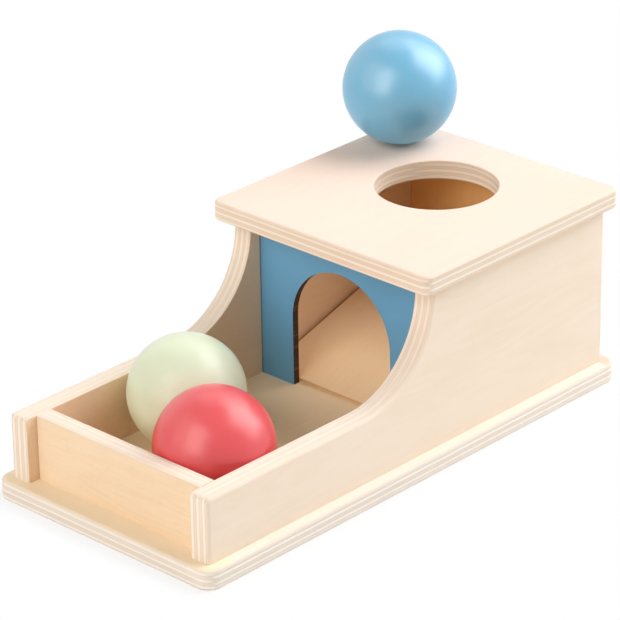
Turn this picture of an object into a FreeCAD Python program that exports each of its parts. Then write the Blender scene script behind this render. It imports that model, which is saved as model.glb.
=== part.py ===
import FreeCAD, Part
import math
import os

# Object permanence box: a plywood box with a tray, a holed lid and a ramp, and three loose balls.
# Millimetres. +Z is up, +Y runs from the tray to the box, +X is to the right seen from the tray end.
# The origin is the middle of the base board's underside.

# Boards
side_thick = 9.0
base_thick = 8.0
lid_thick = 8.0
wall_thick = 8.0
back_thick = 8.0
door_thick = 3.0
ramp_thick = 3.0
board_end_ease = 0.4

# Side panels
inner_width = 85.4
panel_length = 223.0
panel_height = 67.0
tray_wall_height = 26.5
tray_length = 121.0
curve_radius = 38.0
panel_nose_round = 2.0
outer_edge_round = 1.5
inner_edge_round = 0.4

# Base board
base_side_overhang = 4.6
base_front_overhang = 5.0
base_back_overhang = 5.0
base_corner_radius = 6.0
base_top_round = 1.6
base_bottom_round = 0.8

# Lid board and its hole
lid_side_overhang = 4.3
lid_front_overhang = 8.2
lid_back_overhang = 4.0
lid_corner_radius = 4.0
lid_edge_round = 1.4
hole_clearance = 3.0
hole_from_back_edge = 45.0
hole_edge_round = 0.5

# Tray front wall
wall_setback = 5.0
wall_top_round = 0.8

# Door panel with its arch, held in a groove in each side panel
door_setback = 5.0
arch_side_clearance = 2.5
arch_spring_height = 29.7
groove_depth = 3.0
groove_clearance = 0.1
door_top_clearance = 0.1

# Ramp and the batten that carries its high end
ramp_angle = 16.9
ramp_toe_height = 1.9
ramp_toe_round = 0.8
ramp_side_clearance = 0.7
ramp_end_clearance = 0.3
batten_depth = 10.0
batten_height = 12.0

# Balls
ball_diameter = 46.0
ball_gap = 0.2
top_ball_from_left_edge = 15.0
top_ball_from_back_edge = 20.5

# Countersunk screws from below
screw_diameter = 3.0
screw_length = 18.0
screw_tip_length = 4.0
screw_head_diameter = 5.6
screw_head_height = 1.5
screw_head_recess = 0.3
screw_clearance = 0.05
screw_end_clearance = 0.5
drive_slot_width = 0.8
drive_slot_length = 3.2
drive_slot_depth = 1.0
side_screw_shares = (0.1, 0.5, 0.9)
cross_screw_shares = (0.25, 0.75)

# Blind dowels
dowel_diameter = 4.0
dowel_chamfer = 0.4
dowel_clearance = 0.05
dowel_end_clearance = 0.3
lid_dowel_in_lid = 5.0
lid_dowel_in_panel = 7.0
corner_dowel_in_side = 5.0
corner_dowel_in_board = 8.0
lid_dowel_shares = (0.2, 0.8)
wall_dowel_shares = (0.3, 0.72)
back_dowel_shares = (0.3, 0.75)

# One overrun for every cut, and one tolerance for picking edges
overrun = 1.0
match = 0.01

# Places that follow from the sizes
outer_width = inner_width + 2 * side_thick
base_width = outer_width + 2 * base_side_overhang
base_length = base_front_overhang + panel_length + base_back_overhang
front_y = -base_length / 2 + base_front_overhang
back_y = front_y + panel_length
box_front_y = front_y + tray_length
floor_z = base_thick
panel_top_z = floor_z + panel_height
lid_top_z = panel_top_z + lid_thick
side_mid_x = inner_width / 2 + side_thick / 2
wall_front_y = front_y + wall_setback
wall_back_y = wall_front_y + wall_thick
back_front_y = back_y - back_thick
door_front_y = box_front_y + door_setback
door_back_y = door_front_y + door_thick
lid_width = outer_width + 2 * lid_side_overhang
lid_front_y = box_front_y - lid_front_overhang
lid_back_y = back_y + lid_back_overhang
hole_y = lid_back_y - hole_from_back_edge
ramp_front_y = door_back_y + ramp_end_clearance
ramp_back_y = back_front_y - ramp_end_clearance
ramp_slope = math.tan(math.radians(ramp_angle))
ramp_rise_thick = ramp_thick / math.cos(math.radians(ramp_angle))
ball_radius = ball_diameter / 2
hole_diameter = ball_diameter + hole_clearance
arch_radius = ball_radius + arch_side_clearance


def vec(x, y, z):
    return FreeCAD.Vector(x, y, z)


def block(x0, x1, y0, y1, z0, z1):
    return Part.makeBox(x1 - x0, y1 - y0, z1 - z0, vec(x0, y0, z0))


def profile_solid(points, x0, x1):
    """Closed outline of (y, z) points, as a solid from x0 to x1."""
    corners = [vec(x0, y, z) for y, z in points]
    wire = Part.makePolygon(corners + corners[:1])
    return Part.Face(wire).extrude(vec(x1 - x0, 0, 0))


def lies_on(edge, axis, value):
    """True when the whole edge lies in the plane where the given axis has the given value."""
    box = edge.BoundBox
    low = (box.XMin, box.YMin, box.ZMin)[axis]
    high = (box.XMax, box.YMax, box.ZMax)[axis]
    return abs(low - value) < match and abs(high - value) < match


def plate(width, y0, y1, z0, z1, corner_radius):
    """Flat board with rounded plan corners."""
    solid = block(-width / 2, width / 2, y0, y1, z0, z1)
    upright = [e for e in solid.Edges if abs(e.BoundBox.ZLength - (z1 - z0)) < match]
    return solid.makeFillet(corner_radius, upright)


def side_profile(x):
    """Face of a side panel's outline at x: tray wall, concave curve, box, with a rounded nose at the front.

    It runs up past the lid's underside, and side_panel trims it there.
    """
    tray_z = floor_z + tray_wall_height
    curve_y = box_front_y - curve_radius
    curve_z = tray_z + curve_radius
    diagonal = math.sin(math.radians(45))
    nose_y = front_y + panel_nose_round
    nose_z = tray_z - panel_nose_round
    high_z = panel_top_z + curve_radius
    outline = [
        Part.LineSegment(vec(x, front_y, floor_z), vec(x, back_y, floor_z)),
        Part.LineSegment(vec(x, back_y, floor_z), vec(x, back_y, high_z)),
        Part.LineSegment(vec(x, back_y, high_z), vec(x, box_front_y, high_z)),
        Part.LineSegment(vec(x, box_front_y, high_z), vec(x, box_front_y, curve_z)),
        Part.Arc(
            vec(x, box_front_y, curve_z),
            vec(x, curve_y + curve_radius * diagonal, curve_z - curve_radius * diagonal),
            vec(x, curve_y, tray_z),
        ),
        Part.LineSegment(vec(x, curve_y, tray_z), vec(x, nose_y, tray_z)),
        Part.Arc(
            vec(x, nose_y, tray_z),
            vec(x, nose_y - panel_nose_round * diagonal, nose_z + panel_nose_round * diagonal),
            vec(x, front_y, nose_z),
        ),
        Part.LineSegment(vec(x, front_y, nose_z), vec(x, front_y, floor_z)),
    ]
    return Part.Face(Part.Wire([piece.toShape() for piece in outline]))


def soften_panel(solid, face_x, radius):
    """Round the panel's free edges on one face: all but those on the base and under the lid."""
    picked = [
        e for e in solid.Edges
        if lies_on(e, 0, face_x) and not lies_on(e, 2, floor_z) and not lies_on(e, 2, panel_top_z)
    ]
    return solid.makeFillet(radius, picked)


def dowel_hole(x, y, z, direction, depth):
    """Blind hole from a mouth point into a board, with room for one dowel."""
    radius = dowel_diameter / 2 + dowel_clearance
    mouth = vec(x, y, z) - direction * overrun
    return Part.makeCylinder(radius, overrun + depth + dowel_end_clearance, mouth, direction)


def dowel(x, y, z, direction, before, after):
    """Dowel through a joint plane: its length before and after the plane, with chamfered ends."""
    pin = Part.makeCylinder(dowel_diameter / 2, before + after, vec(x, y, z) - direction * before, direction)
    rims = [e for e in pin.Edges if isinstance(e.Curve, Part.Circle)]
    return pin.makeChamfer(dowel_chamfer, rims)


def corner_dowel_places():
    """(y, z) of every dowel between a side panel and a cross board."""
    wall_y = (wall_front_y + wall_back_y) / 2
    board_y = (back_front_y + back_y) / 2
    places = [(wall_y, floor_z + share * tray_wall_height) for share in wall_dowel_shares]
    places += [(board_y, floor_z + share * panel_height) for share in back_dowel_shares]
    return places


def lid_dowel_places():
    """(x, y) of every dowel between the lid and a side panel."""
    span = back_y - box_front_y
    return [(sign * side_mid_x, box_front_y + share * span) for sign in (-1, 1) for share in lid_dowel_shares]


def screw_places():
    """(x, y) of every screw: along both side panels, the tray front wall and the back panel."""
    places = [(sign * side_mid_x, front_y + share * panel_length) for sign in (-1, 1) for share in side_screw_shares]
    for y in ((wall_front_y + wall_back_y) / 2, (back_front_y + back_y) / 2):
        places += [((share - 1 / 2) * inner_width, y) for share in cross_screw_shares]
    return places


def screw_body(x, y, extra, length):
    """Countersunk screw form on its axis, swollen by extra all round, with its point up."""
    half_shank = screw_diameter / 2 + extra
    half_head = screw_head_diameter / 2 + extra
    head_z = screw_head_recess
    neck_z = head_z + screw_head_height
    tip_z = head_z + length
    outline = [
        vec(x, y, head_z),
        vec(x + half_head, y, head_z),
        vec(x + half_shank, y, neck_z),
        vec(x + half_shank, y, tip_z - screw_tip_length),
        vec(x, y, tip_z),
    ]
    face = Part.Face(Part.makePolygon(outline + outline[:1]))
    return face.revolve(vec(x, y, 0), vec(0, 0, 1), 360)


def screw(x, y):
    """One screw with a cross slot in its head."""
    solid = screw_body(x, y, 0, screw_length)
    half_width = drive_slot_width / 2
    half_length = drive_slot_length / 2
    low = screw_head_recess - overrun
    high = screw_head_recess + drive_slot_depth
    along_x = block(x - half_length, x + half_length, y - half_width, y + half_width, low, high)
    along_y = block(x - half_width, x + half_width, y - half_length, y + half_length, low, high)
    return solid.cut(along_x.fuse(along_y))


def screw_holes():
    """Countersinks and pilot holes for every screw, open at the base board's underside."""
    holes = []
    for x, y in screw_places():
        mouth = Part.makeCylinder(
            screw_head_diameter / 2 + screw_clearance, overrun + screw_head_recess, vec(x, y, -overrun)
        )
        holes.append(mouth.fuse(screw_body(x, y, screw_clearance, screw_length + screw_end_clearance)))
    return Part.makeCompound(holes)


def base_board():
    y0 = front_y - base_front_overhang
    y1 = back_y + base_back_overhang
    solid = plate(base_width, y0, y1, 0, base_thick, base_corner_radius)
    solid = solid.makeFillet(base_top_round, [e for e in solid.Edges if lies_on(e, 2, base_thick)])
    solid = solid.makeFillet(base_bottom_round, [e for e in solid.Edges if lies_on(e, 2, 0)])
    return solid.cut(screw_holes())


def side_panel(sign):
    """Side panel with its door groove, dowel holes and pilot holes; sign is -1 left, 1 right."""
    inner_x = sign * inner_width / 2
    outer_x = sign * outer_width / 2
    solid = side_profile(inner_x).extrude(vec(outer_x - inner_x, 0, 0))
    half = outer_width / 2 + overrun
    solid = solid.common(block(-half, half, front_y - overrun, back_y + overrun, floor_z, panel_top_z))
    solid = soften_panel(solid, outer_x, outer_edge_round)
    solid = soften_panel(solid, inner_x, inner_edge_round)
    groove_x = sorted((inner_x - sign * overrun, inner_x + sign * groove_depth))
    groove = block(
        groove_x[0], groove_x[1], door_front_y - groove_clearance, door_back_y + groove_clearance,
        floor_z - overrun, panel_top_z + overrun,
    )
    cuts = [groove, screw_holes()]
    outward = vec(sign, 0, 0)
    for y, z in corner_dowel_places():
        cuts.append(dowel_hole(inner_x, y, z, outward, corner_dowel_in_side))
    for x, y in lid_dowel_places():
        cuts.append(dowel_hole(x, y, panel_top_z, vec(0, 0, -1), lid_dowel_in_panel))
    for cut in cuts:
        solid = solid.cut(cut)
    return solid


def eased_prism(half, y0, y1, z0, z1):
    """Block from -half to half with its four upright edges eased."""
    near, far = y0 + board_end_ease, y1 - board_end_ease
    end = half - board_end_ease
    plan = [(-end, y0), (end, y0), (half, near), (half, far), (end, y1), (-end, y1), (-half, far), (-half, near)]
    corners = [vec(x, y, z0) for x, y in plan]
    return Part.Face(Part.makePolygon(corners + corners[:1])).extrude(vec(0, 0, z1 - z0))


def cross_board(y0, y1, top_z, top_round):
    """Upright board between the side panels, with dowel holes in its ends and pilot holes below."""
    half = inner_width / 2
    solid = block(-half, half, y0, y1, floor_z, top_z)
    if top_round:
        rims = [e for e in solid.Edges if lies_on(e, 2, top_z) and abs(e.BoundBox.XLength - inner_width) < match]
        solid = solid.makeFillet(top_round, rims)
    solid = solid.common(eased_prism(half, y0, y1, floor_z, top_z))
    solid = solid.cut(screw_holes())
    for y, z in corner_dowel_places():
        if y0 < y < y1:
            for sign in (-1, 1):
                solid = solid.cut(dowel_hole(sign * half, y, z, vec(-sign, 0, 0), corner_dowel_in_board))
    return solid


def tray_front_wall():
    return cross_board(wall_front_y, wall_back_y, floor_z + tray_wall_height, wall_top_round)


def back_panel():
    return cross_board(back_front_y, back_y, panel_top_z, 0)


def door_panel():
    """Thin board in the side grooves, with an arched doorway open at the floor."""
    half = inner_width / 2 + groove_depth - groove_clearance
    solid = block(-half, half, door_front_y, door_back_y, floor_z, panel_top_z - door_top_clearance)
    spring_z = floor_z + arch_spring_height
    low_y = door_front_y - overrun
    high_y = door_back_y + overrun
    legs = block(-arch_radius, arch_radius, low_y, high_y, floor_z - overrun, spring_z)
    crown = Part.makeCylinder(arch_radius, high_y - low_y, vec(0, low_y, spring_z), vec(0, 1, 0))
    return solid.cut(legs.fuse(crown).removeSplitter())


def ramp_board():
    """Sloping board: its toe is bevelled flat to the base, its high end is cut upright."""
    half = inner_width / 2 - ramp_side_clearance
    run = ramp_back_y - ramp_front_y
    toe_z = floor_z + ramp_toe_height
    heel_y = ramp_front_y + (ramp_rise_thick - ramp_toe_height) / ramp_slope
    top_z = toe_z + run * ramp_slope
    outline = [
        (ramp_front_y, floor_z),
        (heel_y, floor_z),
        (ramp_back_y, top_z - ramp_rise_thick),
        (ramp_back_y, top_z),
        (ramp_front_y, toe_z),
    ]
    solid = profile_solid(outline, -half, half)
    lip = [e for e in solid.Edges if lies_on(e, 1, ramp_front_y) and lies_on(e, 2, toe_z)]
    return solid.makeFillet(ramp_toe_round, lip)


def ramp_batten():
    """Batten on the back panel, its top planed to the ramp's slope."""
    half = inner_width / 2 - ramp_side_clearance
    high_z = floor_z + ramp_toe_height - ramp_rise_thick + (back_front_y - ramp_front_y) * ramp_slope
    low_z = high_z - batten_depth * ramp_slope
    outline = [
        (back_front_y - batten_depth, high_z - batten_height),
        (back_front_y, high_z - batten_height),
        (back_front_y, high_z),
        (back_front_y - batten_depth, low_z),
    ]
    return profile_solid(outline, -half, half)


def lid_board():
    solid = plate(lid_width, lid_front_y, lid_back_y, panel_top_z, lid_top_z, lid_corner_radius)
    rims = [e for e in solid.Edges if lies_on(e, 2, panel_top_z) or lies_on(e, 2, lid_top_z)]
    solid = solid.makeFillet(lid_edge_round, rims)
    depth = lid_thick + 2 * overrun
    solid = solid.cut(Part.makeCylinder(hole_diameter / 2, depth, vec(0, hole_y, panel_top_z - overrun)))
    rims = [e for e in solid.Edges if isinstance(e.Curve, Part.Circle)
            and abs(e.Curve.Radius - hole_diameter / 2) < match]
    solid = solid.makeFillet(hole_edge_round, rims)
    for x, y in lid_dowel_places():
        solid = solid.cut(dowel_hole(x, y, panel_top_z, vec(0, 0, 1), lid_dowel_in_lid))
    return solid


def base_screws():
    return Part.makeCompound([screw(x, y) for x, y in screw_places()])


def lid_dowels():
    up = vec(0, 0, 1)
    pins = [dowel(x, y, panel_top_z, up, lid_dowel_in_panel, lid_dowel_in_lid) for x, y in lid_dowel_places()]
    return Part.makeCompound(pins)


def corner_dowels():
    pins = []
    for sign in (-1, 1):
        for y, z in corner_dowel_places():
            outward = vec(sign, 0, 0)
            pins.append(dowel(sign * inner_width / 2, y, z, outward, corner_dowel_in_board, corner_dowel_in_side))
    return Part.makeCompound(pins)


def ball_at(x, y, seat_z):
    return Part.makeSphere(ball_radius, vec(x, y, seat_z + ball_gap + ball_radius))


def balls():
    """Red in the tray's front right corner, green against it and the left panel, blue on the lid.

    In a tray wide enough for both, the green ball lies in the front left corner, clear of the red one.
    """
    side_x = inner_width / 2 - ball_gap - ball_radius
    red_y = wall_back_y + ball_gap + ball_radius
    reach = ball_diameter + ball_gap
    across = 2 * side_x
    green_y = red_y + math.sqrt(max(reach * reach - across * across, 0))
    blue_x = -lid_width / 2 + top_ball_from_left_edge
    blue_y = lid_back_y - top_ball_from_back_edge
    return {
        "red_ball": ball_at(side_x, red_y, floor_z),
        "green_ball": ball_at(-side_x, green_y, floor_z),
        "blue_ball": ball_at(blue_x, blue_y, lid_top_z),
    }


nodes = {
    "base_board": base_board(),
    "left_side_panel": side_panel(-1),
    "right_side_panel": side_panel(1),
    "tray_front_wall": tray_front_wall(),
    "back_panel": back_panel(),
    "door_panel": door_panel(),
    "ramp_board": ramp_board(),
    "ramp_batten": ramp_batten(),
    "lid_board": lid_board(),
    "base_screws": base_screws(),
    "lid_dowels": lid_dowels(),
    "corner_dowels": corner_dowels(),
}
nodes.update(balls())

os.makedirs("parts", exist_ok=True)
for name, shape in nodes.items():
    shape.exportStep("parts/" + name + ".step")
    box = shape.BoundBox
    print(
        name, "solids", len(shape.Solids), "valid", shape.isValid(), "volume", round(shape.Volume),
        "x", round(box.XMin, 2), round(box.XMax, 2), "y", round(box.YMin, 2), round(box.YMax, 2),
        "z", round(box.ZMin, 2), round(box.ZMax, 2),
    )
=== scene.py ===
import math

import bpy
from mathutils import Matrix, Vector, noise


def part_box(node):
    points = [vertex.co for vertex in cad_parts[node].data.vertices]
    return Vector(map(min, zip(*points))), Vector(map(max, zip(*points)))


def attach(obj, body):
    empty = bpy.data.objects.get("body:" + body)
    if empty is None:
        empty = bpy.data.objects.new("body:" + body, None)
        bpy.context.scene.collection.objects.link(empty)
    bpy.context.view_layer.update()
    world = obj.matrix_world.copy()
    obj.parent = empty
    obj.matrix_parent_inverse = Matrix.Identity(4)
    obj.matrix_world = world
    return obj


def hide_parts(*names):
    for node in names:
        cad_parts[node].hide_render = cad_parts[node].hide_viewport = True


# Looks for the object permanence box: plywood, paint, light, floor and camera around the fixed frame.
# Metres. +Z is up, +Y runs from the tray to the box, +X is to the right seen from the tray end.

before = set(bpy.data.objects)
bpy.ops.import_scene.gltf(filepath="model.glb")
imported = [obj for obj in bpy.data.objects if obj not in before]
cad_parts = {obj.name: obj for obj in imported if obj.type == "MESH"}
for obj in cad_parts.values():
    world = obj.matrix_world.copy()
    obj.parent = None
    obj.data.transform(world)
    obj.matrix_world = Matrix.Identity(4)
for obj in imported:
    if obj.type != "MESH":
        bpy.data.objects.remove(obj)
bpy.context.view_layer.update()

MM = 0.001
X_AXIS, Y_AXIS, Z_AXIS = Vector((1, 0, 0)), Vector((0, 1, 0)), Vector((0, 0, 1))

# Camera, found from the photograph's edges. Azimuth 0 is the tray end, 90 the right side and 180 the back.
CAMERA_LENS = 200.0
CAMERA_SENSOR = 36.0
CAMERA_AIM = Vector((-2.24, -0.22, 52.94)) * MM
CAMERA_DISTANCE = 1316.7 * MM
CAMERA_AZIMUTH = 43.45
CAMERA_ELEVATION = 25.11
CAMERA_ROLL = -0.905


def rgb(red, green, blue):
    """A colour picked as it should look, from 0 to 255, as the linear colour that a shader takes."""
    def linear(value):
        share = value / 255
        return share / 12.92 if share <= 0.04045 else ((share + 0.055) / 1.055) ** 2.4
    return (linear(red), linear(green), linear(blue), 1.0)


# Face veneers, pale wood and streaks
LID_PALE, LID_STREAK = rgb(251, 229, 215), rgb(248, 223, 207)
VENEER_PALE, VENEER_STREAK = rgb(250, 235, 217), rgb(246, 226, 204)
BASE_PALE, BASE_STREAK = rgb(252, 231, 196), rgb(247, 220, 181)
INNER_PALE, INNER_STREAK = rgb(250, 223, 192), rgb(244, 213, 178)
WARM_PALE, WARM_STREAK = rgb(248, 226, 196), rgb(240, 210, 175)
RAMP_PALE, RAMP_STREAK = rgb(255, 228, 189), rgb(252, 217, 173)
DEEP_PALE, DEEP_STREAK = rgb(249, 200, 138), rgb(241, 188, 122)
# The back panel's outside is a darker copy of the veneer: painted shade that tones down the bright lamps
# behind it.
BACK_SHADED_PALE, BACK_SHADED_STREAK = rgb(242, 215, 189), rgb(233, 202, 172)

# Tones of rims and rear edges, and the glue between plies
# The ramp's dark margin is partly laser scorch and partly painted shadow of the gap beside the side panels.
SAPWOOD, RAMP_BURN_AND_GAP_SHADOW = rgb(250, 239, 226), rgb(172, 124, 82)
# Both rear tones are painted shade against the lamps behind: on the base behind the box, and on cut edges
# that face back.
REAR_RIM_SHADE, REAR_EDGE_SHADE = rgb(238, 215, 194), rgb(226, 202, 176)
# The base's front rim is painted light, on the strip before the front wall that the wall shades.
FRONT_PAINTED_LIGHT = rgb(255, 239, 212)
GLUE = rgb(200, 168, 138)

# Plies on cut edges: those that show side grain, and those that show end grain
CUT = (rgb(252, 242, 228), rgb(242, 225, 207))
LID_CUT = (rgb(253, 243, 228), rgb(243, 222, 200))
BASE_CUT = (rgb(255, 251, 243), rgb(242, 230, 217))
RAMP_CUT = (rgb(244, 214, 172), rgb(230, 194, 150))

# Solid wood, paint, scorched edge and metal
BIRCH_PALE, BIRCH_STREAK, BIRCH_END = rgb(236, 208, 172), rgb(214, 178, 138), rgb(204, 168, 130)
# The last door colour is painted shade, laid where the door meets the side panels and under the lid.
DOOR_BLUE, DOOR_BLUE_DEEP, DOOR_PAINTED_SHADE = rgb(106, 171, 214), rgb(101, 167, 210), rgb(52, 74, 84)
SCORCHED, SCORCHED_LIGHT = rgb(55, 40, 32), rgb(100, 71, 52)
RED, RED_DEEP = rgb(231, 86, 91), rgb(225, 80, 86)
GREEN, GREEN_DEEP = rgb(228, 239, 213), rgb(223, 234, 207)
BLUE, BLUE_DEEP = rgb(112, 183, 219), rgb(106, 178, 215)
ZINC, ZINC_DULL = rgb(206, 208, 214), rgb(176, 180, 186)


class Nodes:
    """Short calls for building a shader node tree. A value is a socket, a number or a tuple."""

    def __init__(self, tree):
        self.tree = tree

    def feed(self, socket, value):
        if isinstance(value, bpy.types.NodeSocket):
            self.tree.links.new(value, socket)
        else:
            socket.default_value = value

    def add(self, kind, inputs, **settings):
        node = self.tree.nodes.new(kind)
        for name, value in settings.items():
            setattr(node, name, value)
        for key, value in inputs.items():
            self.feed(node.inputs[key], value)
        return node

    def math(self, operation, *values):
        return self.add("ShaderNodeMath", dict(enumerate(values)), operation=operation).outputs[0]

    def vector(self, operation, *values):
        node = self.add("ShaderNodeVectorMath", dict(enumerate(values)), operation=operation)
        scalar = operation in ("DOT_PRODUCT", "LENGTH")
        return node.outputs["Value" if scalar else "Vector"]

    def combine(self, x, y, z):
        return self.add("ShaderNodeCombineXYZ", {"X": x, "Y": y, "Z": z}).outputs[0]

    def split(self, vector):
        return tuple(self.add("ShaderNodeSeparateXYZ", {"Vector": vector}).outputs)

    def coordinates(self):
        return self.add("ShaderNodeTexCoord", {}).outputs

    def noise(self, vector, detail=2.0, rough=0.5, distortion=0.0):
        inputs = {"Vector": vector, "Scale": 1.0, "Detail": detail, "Roughness": rough}
        return self.add("ShaderNodeTexNoise", {**inputs, "Distortion": distortion}).outputs["Fac"]

    def random(self, value):
        """A random number from 0 to 1 that depends on the value alone."""
        return self.add("ShaderNodeTexWhiteNoise", {"W": value}, noise_dimensions="1D").outputs["Value"]

    def smooth(self, value, low, high, out_low=0.0, out_high=1.0):
        inputs = {"Value": value, "From Min": low, "From Max": high, "To Min": out_low, "To Max": out_high}
        return self.add("ShaderNodeMapRange", inputs, interpolation_type="SMOOTHSTEP").outputs[0]

    def mix(self, factor, a, b):
        return self.add("ShaderNodeMix", {0: factor, 6: a, 7: b}, data_type="RGBA").outputs[2]

    def blend(self, factor, a, b):
        return self.add("ShaderNodeMix", {0: factor, 2: a, 3: b}, data_type="FLOAT").outputs[0]

    def total(self, *values):
        out = values[0]
        for value in values[1:]:
            out = self.math("ADD", out, value)
        return out

    def swing(self, value, size):
        """A noise value from 0 to 1, centred on 0 with the given full size."""
        return self.math("MULTIPLY_ADD", value, size, -size / 2)


# Size of the wood's marks, along the grain and across it
FIGURE_SIZE = (90 * MM, 14 * MM)
FIBRE_SIZE = (14 * MM, 0.55 * MM)
PORE_SIZE = (3.2 * MM, 0.2 * MM)
DRIFT_SIZE = (60 * MM, 30 * MM)
CURL_SIZE = (7 * MM, 26 * MM)
WAVER_SIZE = (22 * MM, 22 * MM)
SAWN_SIZE = (9 * MM, 9 * MM)
DOT_SIZE = (0.35 * MM, 0.35 * MM)
BIRCH_DOT_SIZE = (0.4 * MM, 0.4 * MM)


def scaled(n, place, size, seed):
    """Grain coordinates in which one unit of noise is one mark of the given size."""
    length, width = size
    along, across, through = place
    return n.combine(
        n.math("MULTIPLY_ADD", along, 1 / length, seed),
        n.math("MULTIPLY_ADD", across, 1 / width, seed),
        n.math("MULTIPLY_ADD", through, 1 / width, seed),
    )


def axes_place(n, point, axes):
    """Place of a surface point along three axes."""
    return tuple(n.vector("DOT_PRODUCT", point["Object"], axis) for axis in axes)


# Rings in a veneer's figure, and how much each kind of mark darkens a face
FIGURE_RINGS = 42.0
RING_SHARE, RING_LEVEL = 0.10, 0.22
FIBRE_SHARE, DRIFT_SHARE, CURL_SHARE, PORE_SHARE = 0.8, 1.1, 0.2, 0.45


def ply_face(n, place, seed, pale, streak):
    """Veneer of a face: broad figure, fibres, pores, curl and a slow drift of tone. Gives colour, fibre and
    pores."""
    figure = n.noise(scaled(n, place, FIGURE_SIZE, seed), 2.0, 0.5, 0.35)
    rings = n.math("SINE", n.math("MULTIPLY", figure, FIGURE_RINGS))
    fibre = n.noise(scaled(n, place, FIBRE_SIZE, seed), 3.0, 0.6)
    pores = n.smooth(n.noise(scaled(n, place, PORE_SIZE, seed), 1.0), 0.66, 0.8)
    drift = n.noise(scaled(n, place, DRIFT_SIZE, seed), 1.0)
    curl = n.noise(scaled(n, place, CURL_SIZE, seed), 1.0)
    amount = n.total(
        n.math("MULTIPLY_ADD", rings, RING_SHARE, RING_LEVEL), n.swing(fibre, FIBRE_SHARE),
        n.swing(drift, DRIFT_SHARE), n.swing(curl, CURL_SHARE), n.math("MULTIPLY", pores, PORE_SHARE),
    )
    return n.mix(n.smooth(amount, -0.15, 1.15), pale, streak), fibre, pores


# Cut edges: how far plies wander, how strong each mark is, where glue shows, and what sanding takes off
PLY_WAVER = 0.3
PLY_TONE_SHARE, SAWN_SHARE, DOT_SHARE = 0.5, 0.6, 0.4
GLUE_SHARE, GLUE_FROM, GLUE_TO = 0.4, 0.01, 0.11
# Fading of lines on edges that face up, and the painted light that makes them paler
TOP_EDGE_FADE, TOP_EDGE_PAINTED_LIGHT = 0.6, 0.15
DOT_HEIGHT, END_SINK = 0.6, 0.6
EVEN_SHIFT = 8.0


def ply_edge(n, given, place, end_facing, upward):
    """Cut edge: crossed plies, each showing side or end grain, with a fine glue line between them. Edges that
    face up are sanded by hand, so their lines are fainter, and painted light makes them paler. Gives colour
    and height."""
    seed = given["Seed"]
    waver = n.noise(scaled(n, place, WAVER_SIZE, seed), 1.0)
    depth = n.math("SUBTRACT", place[2], given["Start"])
    level = n.math("ADD", n.math("DIVIDE", depth, given["Ply"]), n.swing(waver, PLY_WAVER))
    index = n.math("FLOOR", level)
    inside = n.math("FRACT", level)
    odd = n.math("MODULO", n.math("ADD", index, EVEN_SHIFT), 2.0)
    end = n.blend(odd, end_facing, n.math("SUBTRACT", 1.0, end_facing))
    tone = n.random(n.math("ADD", index, seed))
    sawn = n.noise(scaled(n, place, SAWN_SIZE, seed), 3.0, 0.6)
    dots = n.noise(scaled(n, place, DOT_SIZE, seed), 2.0, 0.6)
    clear = n.math("MULTIPLY_ADD", upward, -TOP_EDGE_FADE, 1.0)
    grain = n.total(n.smooth(end, 0.25, 0.75), n.swing(tone, PLY_TONE_SHARE), -0.5)
    # Edges that face up get a paler tone: painted light from above
    middle = n.math("MULTIPLY_ADD", upward, -TOP_EDGE_PAINTED_LIGHT, 0.5)
    marks = n.total(n.math("MULTIPLY", grain, clear), middle, n.swing(sawn, SAWN_SHARE))
    amount = n.math("ADD", marks, n.swing(dots, DOT_SHARE))
    color = n.mix(n.smooth(amount, -0.1, 1.1), given["Edge Long"], given["Edge End"])
    from_glue = n.math("MINIMUM", inside, n.math("SUBTRACT", 1.0, inside))
    glue = n.smooth(from_glue, GLUE_FROM, GLUE_TO, 1.0, 0.0)
    color = n.mix(n.math("MULTIPLY", n.math("MULTIPLY", glue, GLUE_SHARE), clear), color, given["Glue"])
    sunk = n.math("ADD", n.math("MULTIPLY", end, END_SINK), glue)
    return color, n.math("SUBTRACT", n.math("MULTIPLY", dots, DOT_HEIGHT), sunk)


def rim_tones(n, given, place, show, color):
    """Show face with other tones near its long margins, its rear end and its front end."""
    ahead = n.math("MULTIPLY", place[0], -1.0)
    for rim, away in (("Margin", n.math("ABSOLUTE", place[1])), ("Rear", place[0]), ("Front", ahead)):
        into = n.math("DIVIDE", n.math("SUBTRACT", away, given[rim + " From"]), given["Rim Blend"])
        color = n.mix(n.math("MULTIPLY", n.smooth(into, 0.0, 1.0), show), color, given[rim])
    return color


PLY_INPUTS = (
    ("Through", "NodeSocketVector"), ("Along", "NodeSocketVector"), ("Start", "NodeSocketFloat"),
    ("Ply", "NodeSocketFloat"), ("Seed", "NodeSocketFloat"),
    ("Pale", "NodeSocketColor"), ("Streak", "NodeSocketColor"), ("Reverse Pale", "NodeSocketColor"),
    ("Reverse Streak", "NodeSocketColor"), ("Edge Long", "NodeSocketColor"), ("Edge End", "NodeSocketColor"),
    ("Glue", "NodeSocketColor"), ("Rim Blend", "NodeSocketFloat"),
    ("Margin From", "NodeSocketFloat"), ("Margin", "NodeSocketColor"), ("Rear From", "NodeSocketFloat"),
    ("Rear", "NodeSocketColor"), ("Front From", "NodeSocketFloat"), ("Front", "NodeSocketColor"),
)
PLY_OUTPUTS = (("Color", "NodeSocketColor"), ("Roughness", "NodeSocketFloat"), ("Height", "NodeSocketFloat"))
# Share of painted shade on cut edges that face back, against the lamps behind
REAR_EDGE_SHADE_SHARE = 0.5
ARRIS_SHARE, ARRIS_ROUGH = 0.35, 0.25
EDGE_ROUGH, FACE_ROUGH, FIBRE_ROUGH = 0.62, 0.40, 0.16
FIBRE_HEIGHT = 0.5


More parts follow.
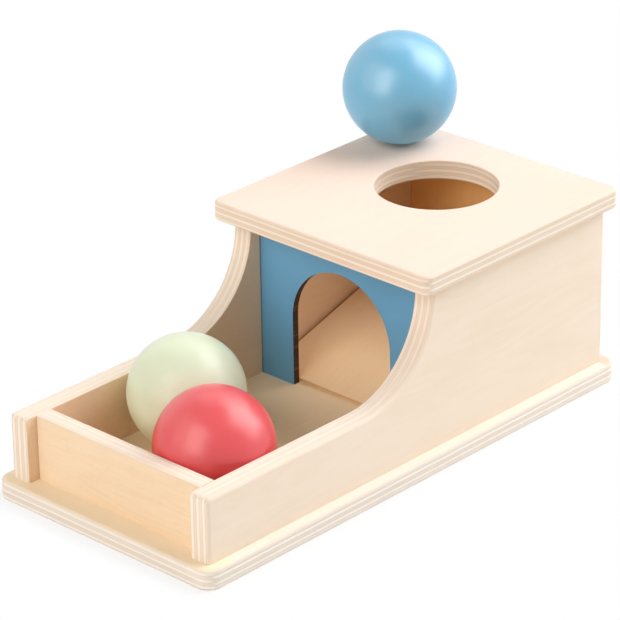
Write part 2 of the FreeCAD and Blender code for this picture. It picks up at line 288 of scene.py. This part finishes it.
def plywood_group():
    """Plywood at real scale: rotary veneer on both faces, and crossed plies with glue on every cut edge."""
    group = bpy.data.node_groups.new("plywood", "ShaderNodeTree")
    for name, kind in PLY_INPUTS:
        group.interface.new_socket(name, in_out="INPUT", socket_type=kind)
    for name, kind in PLY_OUTPUTS:
        group.interface.new_socket(name, in_out="OUTPUT", socket_type=kind)
    n = Nodes(group)
    given = n.add("NodeGroupInput", {}).outputs
    point = n.coordinates()
    across = n.vector("CROSS_PRODUCT", given["Through"], given["Along"])
    place = axes_place(n, point, (given["Along"], across, given["Through"]))
    side = n.vector("DOT_PRODUCT", point["Normal"], given["Through"])
    facing = n.math("ABSOLUTE", side)

    reverse = n.smooth(side, -0.2, 0.2, 1.0, 0.0)
    pale = n.mix(reverse, given["Pale"], given["Reverse Pale"])
    streak = n.mix(reverse, given["Streak"], given["Reverse Streak"])
    face_color, fibre, pores = ply_face(n, place, given["Seed"], pale, streak)
    face_color = rim_tones(n, given, place, n.math("SUBTRACT", 1.0, reverse), face_color)
    face_height = n.math("SUBTRACT", n.math("MULTIPLY", fibre, FIBRE_HEIGHT), pores)

    end_facing = n.math("ABSOLUTE", n.vector("DOT_PRODUCT", point["Normal"], given["Along"]))
    upward = n.math("MAXIMUM", n.vector("DOT_PRODUCT", point["Normal"], Z_AXIS), 0.0)
    # Painted shade on cut edges that face back
    facing_back_shade = n.smooth(n.vector("DOT_PRODUCT", point["Normal"], Y_AXIS), 0.5, 1.0)
    edge_color, edge_height = ply_edge(n, given, place, end_facing, upward)
    edge_color = n.mix(n.math("MULTIPLY", facing_back_shade, REAR_EDGE_SHADE_SHARE), edge_color, REAR_EDGE_SHADE)

    on_face = n.smooth(facing, 0.35, 0.9)
    arris = n.math("MULTIPLY", n.math("MULTIPLY", facing, n.math("SUBTRACT", 1.0, facing)), 4.0)
    color = n.mix(on_face, edge_color, face_color)
    color = n.mix(n.math("MULTIPLY", arris, ARRIS_SHARE), color, given["Edge End"])
    rough = n.blend(on_face, EDGE_ROUGH, n.math("MULTIPLY_ADD", fibre, FIBRE_ROUGH, FACE_ROUGH))
    rough = n.math("ADD", rough, n.math("MULTIPLY", arris, ARRIS_ROUGH))
    height = n.blend(on_face, edge_height, face_height)
    n.add("NodeGroupOutput", {"Color": color, "Roughness": rough, "Height": height})
    return group


def new_material(name):
    material = bpy.data.materials.new(name)
    material.use_nodes = True
    material.node_tree.nodes.clear()
    return material, Nodes(material.node_tree)


def finish_material(n, color, rough, height, depth, **values):
    """Principled surface with a bump of the given depth in metres; values set its other sockets."""
    bump = n.add("ShaderNodeBump", {"Strength": 1.0, "Distance": depth, "Height": height})
    inputs = {"Base Color": color, "Roughness": rough, "Normal": bump.outputs[0]}
    surface = n.add("ShaderNodeBsdfPrincipled", {**inputs, **values})
    n.add("ShaderNodeOutputMaterial", {"Surface": surface.outputs[0]})


def dress(node, material):
    """Put one material on every slot of a CAD node."""
    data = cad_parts[node].data
    if not data.materials:
        data.materials.append(material)
    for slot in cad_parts[node].material_slots:
        slot.material = material


def span(node, axis):
    """Lowest and highest place of a node along an axis."""
    places = [vertex.co.dot(axis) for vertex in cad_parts[node].data.vertices]
    return min(places), max(places)


WOOD_GLOSS = 0.04
WOOD_RELIEF = 0.06 * MM
UNWORN = (0.0, 0.0)
NO_RIMS = {}
OFF_THE_BOARD = (1.0, SAPWOOD)


def board(node, through, along, plies, seed, colors, worn=UNWORN, cut=CUT, rims=NO_RIMS, rim_blend=MM):
    """Plywood material of one board. Through points out of its show face; colors are for that face and its
    reverse. Worn is the share of one ply that is sanded off the show face and off its reverse. Rims are other
    tones of the show face, each with its start and colour, and they blend in over rim_blend. Margin starts
    at a distance on both sides of the middle line along the board, Rear at one from the origin in the
    direction of along, and Front at one the other way."""
    start, stop = span(node, through)
    ply = (stop - start) / (plies - sum(worn))
    material, n = new_material(node)
    group = n.add("ShaderNodeGroup", {}, node_tree=ply_group)
    values = {
        "Through": through, "Along": along, "Start": start - worn[1] * ply, "Ply": ply, "Seed": seed,
        "Pale": colors[0], "Streak": colors[1], "Reverse Pale": colors[2], "Reverse Streak": colors[3],
        "Edge Long": cut[0], "Edge End": cut[1], "Glue": GLUE, "Rim Blend": rim_blend,
    }
    for rim in ("Margin", "Rear", "Front"):
        values[rim + " From"], values[rim] = rims.get(rim, OFF_THE_BOARD)
    for key, value in values.items():
        n.feed(group.inputs[key], value)
    out = group.outputs
    gloss = {"Specular IOR Level": WOOD_GLOSS}
    finish_material(n, out["Color"], out["Roughness"], out["Height"], WOOD_RELIEF, **gloss)
    dress(node, material)


def slope_up(node):
    """Unit normal of a node's largest face, pointing up."""
    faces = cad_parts[node].data.polygons
    normal = max(faces, key=lambda face: face.area).normal.copy()
    return normal if normal.z > 0 else -normal


PANEL_PLIES, RAMP_PLIES = 7, 3
EVEN_WEAR, LEFT_WEAR, RIGHT_WEAR, LID_WEAR = (0.5, 0.5), (0.0, 0.4), (0.0, 0.8), (0.15, 0.7)
SAP_START, REAR_RIM_START, FRONT_RIM_START, BASE_RIM_BLEND = 48.5 * MM, 108 * MM, 101 * MM, 3 * MM
BURN_AND_SHADOW_WIDTH, BURN_AND_SHADOW_BLEND = 1.2 * MM, 0.7 * MM
VENEER, INNER = (VENEER_PALE, VENEER_STREAK), (INNER_PALE, INNER_STREAK)


def base_board():
    """Base: sapwood along its sides, a paler rim of painted light before the tray, where the front wall
    shades the base, and a deeper rim of painted shade behind the box.
    """
    # Rear rim of painted shade behind the box, front rim of painted light where the front wall shades the
    # base
    rims = {"Margin": (SAP_START, SAPWOOD), "Rear": (REAR_RIM_START, REAR_RIM_SHADE)}
    rims["Front"] = (FRONT_RIM_START, FRONT_PAINTED_LIGHT)
    colors = (BASE_PALE, BASE_STREAK) + INNER
    board("base_board", Z_AXIS, Y_AXIS, PANEL_PLIES, 1.3, colors, EVEN_WEAR, BASE_CUT, rims, BASE_RIM_BLEND)


def side_panels():
    board("left_side_panel", -X_AXIS, Y_AXIS, PANEL_PLIES, 2.9, VENEER + INNER, LEFT_WEAR)
    board("right_side_panel", X_AXIS, Y_AXIS, PANEL_PLIES, 4.1, VENEER + INNER, RIGHT_WEAR)


def tray_front_wall():
    board("tray_front_wall", -Y_AXIS, X_AXIS, PANEL_PLIES, 5.7, (WARM_PALE, WARM_STREAK) + INNER, EVEN_WEAR)


def back_panel():
    """Back: its outside is a darker copy of the veneer, painted shade that tones down the bright lamps behind
    it, and its inside, seen through the hole, is deeper than its outside.
    """
    colors = (BACK_SHADED_PALE, BACK_SHADED_STREAK, DEEP_PALE, DEEP_STREAK)
    board("back_panel", Y_AXIS, Z_AXIS, PANEL_PLIES, 7.3, colors, EVEN_WEAR)


def lid_board():
    board("lid_board", Z_AXIS, Y_AXIS, PANEL_PLIES, 5.2, (LID_PALE, LID_STREAK) + INNER, LID_WEAR, LID_CUT)


def ramp_board():
    """Ramp: thin bare plywood with its grain up the slope, and dark margins that are partly scorch from laser
    cutting and partly painted shadow of the gap beside the side panels.
    """
    up = slope_up("ramp_board")
    # Dark margin along both sides of the ramp: laser scorch and painted shadow of the gap beside the walls
    rims = {"Margin": (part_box("ramp_board")[1].x - BURN_AND_SHADOW_WIDTH, RAMP_BURN_AND_GAP_SHADOW)}
    colors = (RAMP_PALE, RAMP_STREAK, RAMP_PALE, RAMP_STREAK)
    along = X_AXIS.cross(up) * -1
    board("ramp_board", up, along, RAMP_PLIES, 6.4, colors, UNWORN, RAMP_CUT, rims, BURN_AND_SHADOW_BLEND)


BIRCH_RELIEF = 0.08 * MM


def solid_wood(node, along, seed):
    """Bare solid birch with its grain along one axis."""
    material, n = new_material(node)
    point = n.coordinates()
    axes = (along, Vector((along.z, along.x, along.y)), Vector((along.y, along.z, along.x)))
    place = axes_place(n, point, axes)
    side_color, fibre, pores = ply_face(n, place, seed, BIRCH_PALE, BIRCH_STREAK)
    dots = n.noise(scaled(n, place, BIRCH_DOT_SIZE, seed), 2.0, 0.6)
    end = n.smooth(n.math("ABSOLUTE", n.vector("DOT_PRODUCT", point["Normal"], along)), 0.4, 0.8)
    color = n.mix(end, side_color, n.mix(n.smooth(dots, 0.35, 0.65), BIRCH_END, BIRCH_STREAK))
    rough = n.math("MULTIPLY_ADD", fibre, 0.2, 0.5)
    finish_material(n, color, rough, n.blend(end, n.math("SUBTRACT", fibre, pores), dots), BIRCH_RELIEF)
    dress(node, material)


# Balls: mesh rings and segments, and how far the surface wanders, sinks onto its rest and dips at the poles
BALL_RINGS = 90
BALL_SEGMENTS = 128
BALL_POLE_CROWDING = 0.6
BALL_WAVER = 0.03 * MM
BALL_WAVER_RATE = 1.6
BALL_SINK = 0.17 * MM
POLE_DIMPLE = 0.18 * MM
POLE_DIMPLE_RADIUS = 1.1 * MM


def ball_points(radius, seed):
    """Points of a turned ball round the origin, from its +Z pole to its -Z pole, ring by ring."""
    points = [Vector((0, 0, radius - POLE_DIMPLE - BALL_WAVER))]
    for ring in range(1, BALL_RINGS):
        share = ring / BALL_RINGS
        polar = math.pi * (share - math.sin(2 * math.pi * share) / (2 * math.pi) * BALL_POLE_CROWDING)
        from_pole = radius * min(polar, math.pi - polar)
        dimple = POLE_DIMPLE * math.exp(-((from_pole / POLE_DIMPLE_RADIUS) ** 2))
        for segment in range(BALL_SEGMENTS):
            around = 2 * math.pi * segment / BALL_SEGMENTS
            flat = math.sin(polar)
            spot = Vector((flat * math.cos(around), flat * math.sin(around), math.cos(polar)))
            waver = BALL_WAVER * (noise.noise(spot * BALL_WAVER_RATE + Vector((seed, seed, seed))) - 1)
            points.append(spot * (radius + waver - dimple))
    points.append(Vector((0, 0, -(radius - POLE_DIMPLE - BALL_WAVER))))
    return points


def ball_faces(last):
    """Faces over the points of ball_points, where last is the number of the last point."""
    faces = []
    for segment in range(BALL_SEGMENTS):
        after = (segment + 1) % BALL_SEGMENTS
        faces.append((0, 1 + segment, 1 + after))
        for ring in range(BALL_RINGS - 2):
            row = 1 + ring * BALL_SEGMENTS
            below = row + BALL_SEGMENTS
            faces.append((row + segment, below + segment, below + after, row + after))
        row = 1 + (BALL_RINGS - 2) * BALL_SEGMENTS
        faces.append((row + segment, last, row + after))
    return faces


def turned_ball(node, axis, seed):
    """Turned wooden ball: a closed surface, slightly off a true sphere, with a dimple at each pole. It sinks
    through most of the gap that the CAD keeps between the ball and what it rests on."""
    low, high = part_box(node)
    radius = (high.z - low.z) / 2
    middle = (low + high) / 2 - Z_AXIS * BALL_SINK
    turn = axis.to_track_quat("Z", "Y")
    points = [middle + turn @ point for point in ball_points(radius, seed)]
    mesh = bpy.data.meshes.new("painted_" + node)
    mesh.from_pydata([tuple(point) for point in points], [], ball_faces(len(points) - 1))
    mesh.shade_smooth()
    ball = bpy.data.objects.new("painted_" + node, mesh)
    bpy.context.scene.collection.objects.link(ball)
    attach(ball, node)
    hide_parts(node)
    return ball


# Marks in paint and metal, as noise per metre along X, Y and Z
BALL_TONE_RATE, BALL_SKIN_RATE, BALL_SPECK_RATE = (70, 70, 70), (420, 420, 420), (1900, 1900, 1900)
DOOR_CLOUD_RATE, DOOR_ROLLER_RATE, DOOR_BURN_RATE = (45, 45, 45), (1100, 1100, 1100), (700, 90, 700)
ZINC_BLOOM_RATE, ZINC_MARK_RATE = (900, 900, 900), (5200, 5200, 800)
SPECK_HEIGHT, SPECK_ROUGH = 0.6, 0.1
BALL_ROUGH, BALL_SKIN_ROUGH = 0.25, 0.10
PAINT_RELIEF, ZINC_RELIEF = 0.02 * MM, 0.02 * MM


def painted_ball(node, color, deep, gloss, axis, seed):
    """Satin paint over turned wood: slightly uneven tone and gloss, and the faint skin of a dipped coat."""
    ball = turned_ball(node, Vector(axis).normalized(), seed)
    material, n = new_material(node)
    place = n.vector("ADD", n.coordinates()["Object"], (seed, seed, seed))
    tone = n.noise(n.vector("MULTIPLY", place, BALL_TONE_RATE), 2.0)
    skin = n.noise(n.vector("MULTIPLY", place, BALL_SKIN_RATE), 3.0, 0.6)
    specks = n.smooth(n.noise(n.vector("MULTIPLY", place, BALL_SPECK_RATE), 1.0), 0.70, 0.78)
    height = n.math("ADD", skin, n.math("MULTIPLY", specks, SPECK_HEIGHT))
    rough = n.total(n.math("MULTIPLY_ADD", skin, BALL_SKIN_ROUGH, BALL_ROUGH),
                    n.math("MULTIPLY", specks, SPECK_ROUGH))
    tint = n.mix(n.smooth(tone, 0.3, 0.7), color, deep)
    finish_material(n, tint, rough, height, PAINT_RELIEF, **{"Specular IOR Level": gloss})
    ball.data.materials.append(material)


DOOR_SEED = 2.2
# Painted shade on the door: its strength, and how far it reaches from the side panels and from the lid
DOOR_SHADE_SHARE = 0.6
WALL_SHADE_REACH, LID_SHADE_REACH = (0.1 * MM, 1.0 * MM), (0.5 * MM, 3.0 * MM)


def painted_door_shade(n, place):
    """How much painted shade darkens the paint: none in the open, most where the door meets the side panels
    and under the lid.
    """
    x, _, z = n.split(place)
    from_wall = n.math("SUBTRACT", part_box("right_side_panel")[0].x, n.math("ABSOLUTE", x))
    from_lid = n.math("SUBTRACT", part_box("lid_board")[0].z, z)
    return n.math("MAXIMUM", n.smooth(from_wall, *WALL_SHADE_REACH, DOOR_SHADE_SHARE, 0.0),
                  n.smooth(from_lid, *LID_SHADE_REACH, DOOR_SHADE_SHARE, 0.0))


def painted_door(node):
    """Thin board: blue paint rolled on its front, with painted shade where it meets the side panels and under
    the lid, bare behind, with scorched edges.
    """
    material, n = new_material(node)
    point = n.coordinates()
    side = n.vector("DOT_PRODUCT", point["Normal"], -Y_AXIS)
    on_face = n.smooth(n.math("ABSOLUTE", side), 0.4, 0.8)
    place = axes_place(n, point, (Z_AXIS, X_AXIS, Y_AXIS))
    bare, _, _ = ply_face(n, place, DOOR_SEED, INNER_PALE, INNER_STREAK)
    cloud = n.noise(n.vector("MULTIPLY", point["Object"], DOOR_CLOUD_RATE), 2.0)
    roller = n.noise(n.vector("MULTIPLY", point["Object"], DOOR_ROLLER_RATE), 2.0, 0.6)
    burn = n.noise(n.vector("MULTIPLY", point["Object"], DOOR_BURN_RATE), 3.0, 0.6)
    paint = n.mix(n.smooth(cloud, 0.3, 0.7), DOOR_BLUE, DOOR_BLUE_DEEP)
    # Painted shade where the door meets the side panels and under the lid
    paint = n.mix(painted_door_shade(n, point["Object"]), paint, DOOR_PAINTED_SHADE)
    paint = n.mix(n.smooth(side, -0.2, 0.2), bare, paint)
    edge = n.mix(n.smooth(burn, 0.45, 0.8), SCORCHED, SCORCHED_LIGHT)
    rough = n.blend(on_face, 0.75, n.math("MULTIPLY_ADD", roller, 0.12, 0.40))
    height = n.blend(on_face, n.math("MULTIPLY", burn, 2.0), roller)
    finish_material(n, n.mix(on_face, edge, paint), rough, height, PAINT_RELIEF)
    dress(node, material)


def zinc_plate(node):
    """Zinc-plated steel with turning marks and a patchy dull bloom."""
    material, n = new_material(node)
    place = n.coordinates()["Object"]
    bloom = n.noise(n.vector("MULTIPLY", place, ZINC_BLOOM_RATE), 3.0, 0.6)
    marks = n.noise(n.vector("MULTIPLY", place, ZINC_MARK_RATE), 2.0, 0.6)
    color = n.mix(n.smooth(bloom, 0.3, 0.7), ZINC, ZINC_DULL)
    rough = n.math("MULTIPLY_ADD", bloom, 0.25, 0.22)
    finish_material(n, color, rough, marks, ZINC_RELIEF, Metallic=1.0)
    dress(node, material)


def direction(azimuth, elevation):
    """Unit vector from the object towards an azimuth and elevation in degrees."""
    a, e = math.radians(azimuth), math.radians(elevation)
    return Vector((math.sin(a) * math.cos(e), -math.cos(a) * math.cos(e), math.sin(e)))


def make_camera():
    back = direction(CAMERA_AZIMUTH, CAMERA_ELEVATION)
    right = Vector((math.cos(math.radians(CAMERA_AZIMUTH)), math.sin(math.radians(CAMERA_AZIMUTH)), 0))
    up = back.cross(right)
    roll = math.radians(CAMERA_ROLL)
    x = right * math.cos(roll) + up * math.sin(roll)
    y = up * math.cos(roll) - right * math.sin(roll)
    data = bpy.data.cameras.new("camera")
    data.lens = CAMERA_LENS
    data.sensor_width = CAMERA_SENSOR
    camera = bpy.data.objects.new("camera", data)
    turn = Matrix((x, y, back)).transposed().to_4x4()
    camera.matrix_world = Matrix.Translation(CAMERA_AIM + back * CAMERA_DISTANCE) @ turn
    bpy.context.scene.collection.objects.link(camera)
    bpy.context.scene.camera = camera


# Lamps: azimuth and elevation seen from the object, distance, width, height, brightness of the face, colour
LAMP_AIM = Vector((0, 0, 50)) * MM
NEUTRAL, WARM_WHITE = (1.0, 1.0, 1.0), (1.0, 0.93, 0.86)
LAMPS = {
    "key_softbox": (150, 41, 2.0, 1.33, 1.75, 2.95, NEUTRAL),
    "key_scrim": (154, 39, 2.0, 2.67, 2.33, 1.8, NEUTRAL),
    "front_softbox": (4, 32, 2.0, 1.1, 1.75, 2.5, WARM_WHITE),
    "front_scrim": (352, 31, 2.0, 2.85, 2.15, 0.9, WARM_WHITE),
    "sky_glow": (223, 56, 1.3, 0.9, 0.9, 1.05, WARM_WHITE),
    "left_fill": (270, 30, 1.3, 1.0, 1.0, 0.4, WARM_WHITE),
    "left_front_fill": (318, 34, 1.3, 0.9, 1.1, 0.3, WARM_WHITE),
}
AMBIENT = 0.03
SURROUND = 1.0


def softbox(name, azimuth, elevation, distance, width, height, radiance, color):
    """Rectangular lamp that faces the object; its power is set from how bright its face looks."""
    toward = direction(azimuth, elevation)
    data = bpy.data.lights.new(name, "AREA")
    data.shape = "RECTANGLE"
    data.size = width
    data.size_y = height
    data.energy = radiance * math.pi * width * height
    data.color = color
    lamp = bpy.data.objects.new(name, data)
    lamp.location = toward * distance + LAMP_AIM
    lamp.rotation_mode = "QUATERNION"
    lamp.rotation_quaternion = toward.to_track_quat("Z", "Y")
    lamp.visible_camera = False
    bpy.context.scene.collection.objects.link(lamp)


def seen_rays(n):
    """1 for rays that see the background: camera, glossy and transmission rays."""
    path = n.add("ShaderNodeLightPath", {}).outputs
    seen = n.math("MAXIMUM", path["Is Camera Ray"], path["Is Glossy Ray"])
    return n.math("MAXIMUM", seen, path["Is Transmission Ray"])


def make_world():
    """World that looks white and lights the object only faintly."""
    world = bpy.data.worlds.new("studio")
    bpy.context.scene.world = world
    world.use_nodes = True
    world.node_tree.nodes.clear()
    n = Nodes(world.node_tree)
    strength = n.blend(seen_rays(n), AMBIENT, SURROUND)
    light = n.add("ShaderNodeBackground", {"Color": (1, 1, 1, 1), "Strength": strength})
    n.add("ShaderNodeOutputWorld", {"Surface": light.outputs[0]})


FLOOR_SIZE = 6.0
FLOOR_DROP = 0.05 * MM
FLOOR_ALBEDO = (0.86, 0.86, 0.86, 1)
SHADOW_SHARE = 0.2
SHADOW_REACH = 9 * MM


def make_floor():
    """White floor that keeps the object's shadow near it and is plain white further out."""
    half = FLOOR_SIZE / 2
    corners = [(-half, -half, 0), (half, -half, 0), (half, half, 0), (-half, half, 0)]
    mesh = bpy.data.meshes.new("floor")
    mesh.from_pydata(corners, [], [(0, 1, 2, 3)])
    floor = bpy.data.objects.new("floor", mesh)
    floor.location.z = -FLOOR_DROP
    bpy.context.scene.collection.objects.link(floor)
    material, n = new_material("floor")
    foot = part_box("base_board")[1]
    place = n.vector("ABSOLUTE", n.coordinates()["Object"])
    outside = n.vector("MAXIMUM", n.vector("SUBTRACT", place, (foot.x, foot.y, 0)), (0, 0, 0))
    distance = n.vector("LENGTH", outside)
    share = n.smooth(distance, 0.0, SHADOW_REACH, SHADOW_SHARE, 0.0)
    lit = n.add("ShaderNodeBsdfDiffuse", {"Color": FLOOR_ALBEDO})
    white = n.add("ShaderNodeEmission", {"Color": (1, 1, 1, 1), "Strength": 1.0})
    factor = n.math("MULTIPLY", seen_rays(n), n.math("SUBTRACT", 1.0, share))
    surface = n.add("ShaderNodeMixShader", {0: factor, 1: lit.outputs[0], 2: white.outputs[0]})
    n.add("ShaderNodeOutputMaterial", {"Surface": surface.outputs[0]})
    mesh.materials.append(material)


ply_group = plywood_group()
make_camera()
base_board()
side_panels()
tray_front_wall()
back_panel()
lid_board()
ramp_board()
solid_wood("ramp_batten", X_AXIS, 3.3)
solid_wood("corner_dowels", X_AXIS, 3.7)
solid_wood("lid_dowels", Z_AXIS, 9.1)
painted_door("door_panel")
painted_ball("red_ball", RED, RED_DEEP, 0.65, (0.8, 0.5, -0.3), 2.0)
painted_ball("green_ball", GREEN, GREEN_DEEP, 0.35, (0.3, 0.6, 0.75), 3.0)
painted_ball("blue_ball", BLUE, BLUE_DEEP, 1.0, (0.75, 0.6, -0.25), 4.0)
zinc_plate("base_screws")
for lamp_name, lamp_values in LAMPS.items():
    softbox(lamp_name, *lamp_values)
make_world()
make_floor()
bpy.context.scene.view_settings.view_transform = "Standard"
